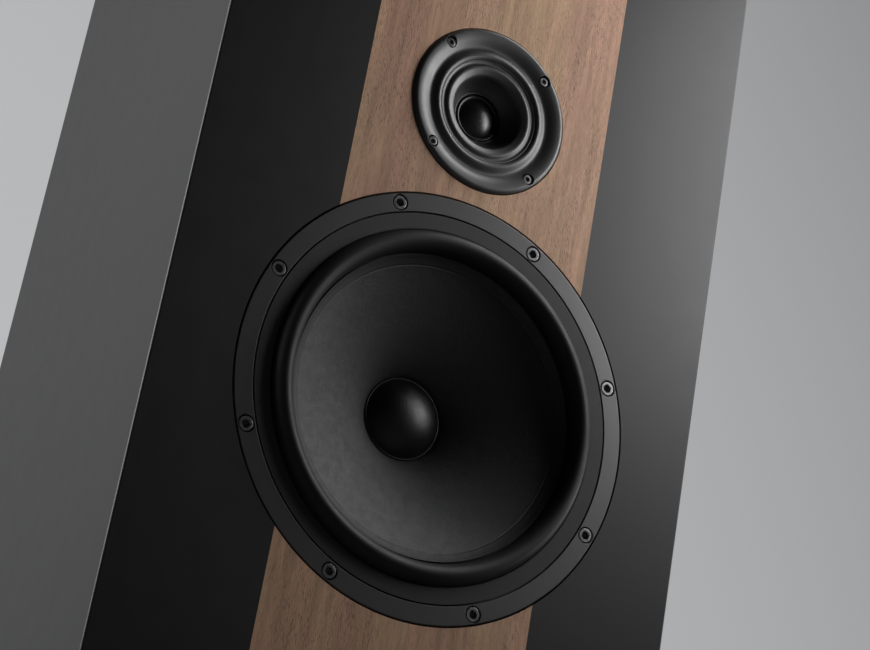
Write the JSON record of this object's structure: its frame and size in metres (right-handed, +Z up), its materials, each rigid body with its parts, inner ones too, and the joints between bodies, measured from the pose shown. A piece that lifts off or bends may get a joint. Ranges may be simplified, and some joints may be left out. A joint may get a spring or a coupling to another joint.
{
  "type": "bookshelf speaker",
  "caption": "Large two-way bookshelf speaker: dark cabinet with a walnut strip down its baffle, wide woofer, small dome tweeter, rear port and binding posts.",
  "frame": {"origin": "under the centre of the box that holds the whole speaker, on the surface the feet stand on", "axes": "+Z up along the cabinet height, -Y out of the front baffle towards the listener, +X to the right seen from the front"},
  "size_m": [0.392, 0.338, 0.64],
  "materials": {
    "dark_lacquer": "satin",
    "walnut": "satin",
    "birch_ply": "matte",
    "wadding": "matte",
    "foot_rubber": "matte",
    "zinc_screw": "satin",
    "black_screw": "satin",
    "port_plastic": "matte",
    "cup_plastic": "satin",
    "gold_brass": "polished",
    "red_knob": "gloss",
    "black_knob": "gloss",
    "circuit_board": "satin",
    "copper_wire": "satin",
    "capacitor_film": "satin",
    "resistor_ceramic": "matte",
    "nylon": "satin",
    "wire_jacket": "satin",
    "cast_frame": "satin",
    "gasket_rubber": "matte",
    "seal_foam": "matte",
    "surround_rubber": "satin",
    "cone_paper": "matte",
    "cap_paper": "matte",
    "former_film": "satin",
    "spider_cloth": "matte",
    "tag_board": "satin",
    "zinc_steel": "satin",
    "ferrite": "matte",
    "tweeter_plastic": "satin",
    "dome_cloth": "satin",
    "moulded_plastic": "matte"
  },
  "bodies": {
    "cabinet": {"front_baffle": "dark_lacquer", "upper_walnut_panel": "walnut", "lower_walnut_panel": "walnut", "left_side_panel": "dark_lacquer", "right_side_panel": "dark_lacquer", "top_panel": "dark_lacquer", "bottom_panel": "dark_lacquer", "rear_panel": "dark_lacquer", "window_brace": "birch_ply", "damping_wadding": "wadding", "rubber_feet": "foot_rubber", "foot_screws": "zinc_screw", "reflex_port_tube": "port_plastic", "reflex_port_flare": "port_plastic", "port_screws": "black_screw", "terminal_cup": "cup_plastic", "terminal_cup_screws": "black_screw", "red_post_stem": "gold_brass", "black_post_stem": "gold_brass", "post_nuts": "gold_brass", "crossover_board": "circuit_board", "crossover_coils": "copper_wire", "crossover_capacitors": "capacitor_film", "crossover_resistors": "resistor_ceramic", "crossover_standoffs": "nylon", "input_wires": "wire_jacket", "woofer_wires": "wire_jacket", "tweeter_wires": "wire_jacket", "woofer_frame": "cast_frame", "woofer_gasket_ring": "gasket_rubber", "woofer_seal": "seal_foam", "woofer_surround": "surround_rubber", "woofer_spider": "spider_cloth", "woofer_tinsel_leads": "copper_wire", "woofer_terminals": "tag_board", "woofer_front_plate": "zinc_steel", "woofer_magnet": "ferrite", "woofer_back_plate": "zinc_steel", "woofer_screws": "black_screw", "tweeter_faceplate": "tweeter_plastic", "tweeter_seal": "seal_foam", "tweeter_screws": "black_screw", "tweeter_surround": "dome_cloth", "tweeter_mounting_ring": "moulded_plastic", "tweeter_front_plate": "zinc_steel", "tweeter_magnet": "ferrite", "tweeter_back_plate": "zinc_steel", "tweeter_rear_chamber": "moulded_plastic", "tweeter_terminals": "gold_brass"},
    "woofer_diaphragm": {"woofer_cone": "cone_paper", "woofer_dust_cap": "cap_paper", "woofer_coil_former": "former_film", "woofer_voice_coil": "copper_wire"},
    "tweeter_diaphragm": {"tweeter_dome": "dome_cloth", "tweeter_voice_coil": "copper_wire"},
    "red_washer": {"red_post_washer": "gold_brass"},
    "red_knob": {"red_post_knob": "red_knob"},
    "black_washer": {"black_post_washer": "gold_brass"},
    "black_knob": {"black_post_knob": "black_knob"}
  },
  "joints": [
    {"name": "woofer_travel", "type": "slide", "parent": "cabinet", "child": "woofer_diaphragm", "axis": [0, -1, 0], "range_m": [-0.007, 0.007], "stiffness_N_per_m": 1300, "deforming": ["woofer_surround", "woofer_spider", "woofer_tinsel_leads"]},
    {"name": "tweeter_travel", "type": "slide", "parent": "cabinet", "child": "tweeter_diaphragm", "axis": [0, -1, 0], "range_m": [-0.0005, 0.0005], "stiffness_N_per_m": 300, "deforming": ["tweeter_surround"]},
    {"name": "red_post_slide", "type": "slide", "parent": "cabinet", "child": "red_washer", "axis": [0, 1, 0], "range_m": [0, 0.005]},
    {"name": "red_post_turn", "type": "hinge", "parent": "red_washer", "child": "red_knob", "pos_m": [-0.019, 0.14, 0.12], "axis": [0, 1, 0], "range_deg": [0, 1440]},
    {"name": "black_post_slide", "type": "slide", "parent": "cabinet", "child": "black_washer", "axis": [0, 1, 0], "range_m": [0, 0.005]},
    {"name": "black_post_turn", "type": "hinge", "parent": "black_washer", "child": "black_knob", "pos_m": [0.019, 0.14, 0.12], "axis": [0, 1, 0], "range_deg": [0, 1440]}
  ],
  "couplings": [
    {"joint": "red_post_turn", "follows": "red_post_slide", "rad_per_m": 5026.5},
    {"joint": "black_post_turn", "follows": "black_post_slide", "rad_per_m": 5026.5}
  ]
}
